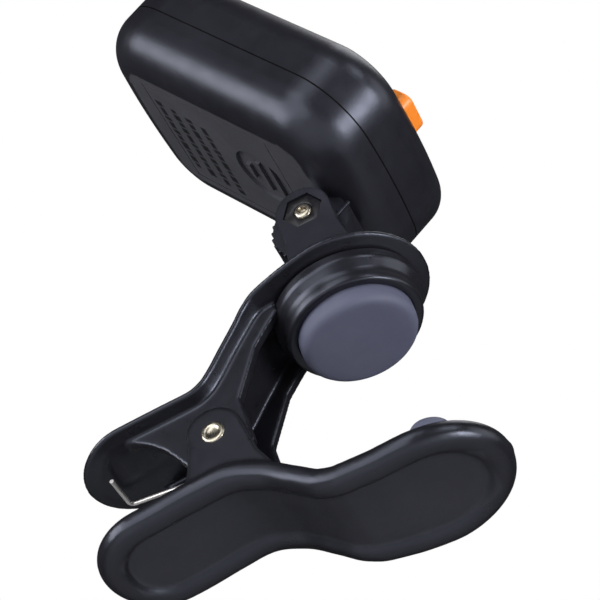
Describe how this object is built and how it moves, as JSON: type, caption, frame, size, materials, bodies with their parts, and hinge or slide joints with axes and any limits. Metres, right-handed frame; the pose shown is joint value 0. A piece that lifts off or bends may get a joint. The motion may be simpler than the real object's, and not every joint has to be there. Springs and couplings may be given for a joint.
{
  "type": "clip-on tuner",
  "caption": "Clip-on instrument tuner: a display head on a tilting, swivelling hinge over a sprung two-lever clip with rubber pads.",
  "frame": {"origin": "centre of the lower pad's clamping face", "axes": "+Z is that face's outward normal, towards the upper jaw; +X runs from the pivot to the jaw tips; +Y along the pivot"},
  "size_m": [0.0569, 0.036, 0.0947],
  "materials": {
    "satin_black_plastic": "satin, moulded",
    "matt_black_plastic": "fine texture",
    "grey_rubber": "matt",
    "nickel_steel": "bright nickel plate",
    "spring_steel": "drawn wire",
    "nylon": "natural",
    "dark_window": "polished",
    "lcd_glass": "polished",
    "clear_guide": "frosted",
    "zebra_rubber": "striped",
    "board_laminate": "solder mask",
    "chip_black": "moulded",
    "component_ceramic": "ceramic",
    "switch_steel": "stamped",
    "brass": "bright",
    "cell_steel": "bright",
    "orange_plastic": "semi-gloss"
  },
  "bodies": {
    "lower_lever": {"lower_arm": "satin_black_plastic", "lower_pad": "grey_rubber", "pivot_rivet": "nickel_steel", "torsion_spring": "spring_steel"},
    "upper_lever": {"upper_arm": "satin_black_plastic", "pad_cup": "satin_black_plastic", "upper_pad": "grey_rubber"},
    "yoke": {"hinge_yoke": "satin_black_plastic", "hinge_screw": "nickel_steel", "hinge_nut": "nickel_steel", "friction_washers": "nylon", "swivel_screw": "nickel_steel", "swivel_washer": "spring_steel"},
    "head": {"rear_shell": "satin_black_plastic", "front_shell": "satin_black_plastic", "display_window": "dark_window", "lcd_glass": "lcd_glass", "backlight_guide": "clear_guide", "lcd_connector": "zebra_rubber", "circuit_board": "board_laminate", "tuner_chip": "chip_black", "board_components": "component_ceramic", "tact_switch": "switch_steel", "piezo_disc": "brass", "coin_cell": "cell_steel", "battery_contact_positive": "spring_steel", "battery_contact_negative": "spring_steel", "case_screws": "nickel_steel"},
    "door": {"battery_door": "matt_black_plastic"},
    "power_key": {"power_button": "orange_plastic"}
  },
  "joints": [
    {"name": "jaw_pivot", "type": "hinge", "parent": "lower_lever", "child": "upper_lever", "pos_m": [-0.0258, 0, 0.0037], "axis": [0, -1, 0], "range_deg": [-36, 25], "stiffness_Nm_per_rad": 0.12, "deforming": ["torsion_spring"]},
    {"name": "base_swivel", "type": "hinge", "parent": "upper_lever", "child": "yoke", "pos_m": [-0.00822, 0, 0.02548], "axis": [-0.1736, 0, 0.9848], "range_deg": [-180, 180]},
    {"name": "head_tilt", "type": "hinge", "parent": "yoke", "child": "head", "pos_m": [-0.0102, 0, 0.03671], "axis": [0, 1, 0], "range_deg": [-60, 40]},
    {"name": "power_press", "type": "slide", "parent": "head", "child": "power_key", "axis": [-0.7694, 0, -0.6388], "range_m": [0, 0.0004], "stiffness_N_per_m": 1200},
    {"name": "door_swing", "type": "hinge", "parent": "head", "child": "door", "pos_m": [-0.02971, 0, 0.0671], "axis": [0, 1, 0], "range_deg": [0, 65]}
  ]
}
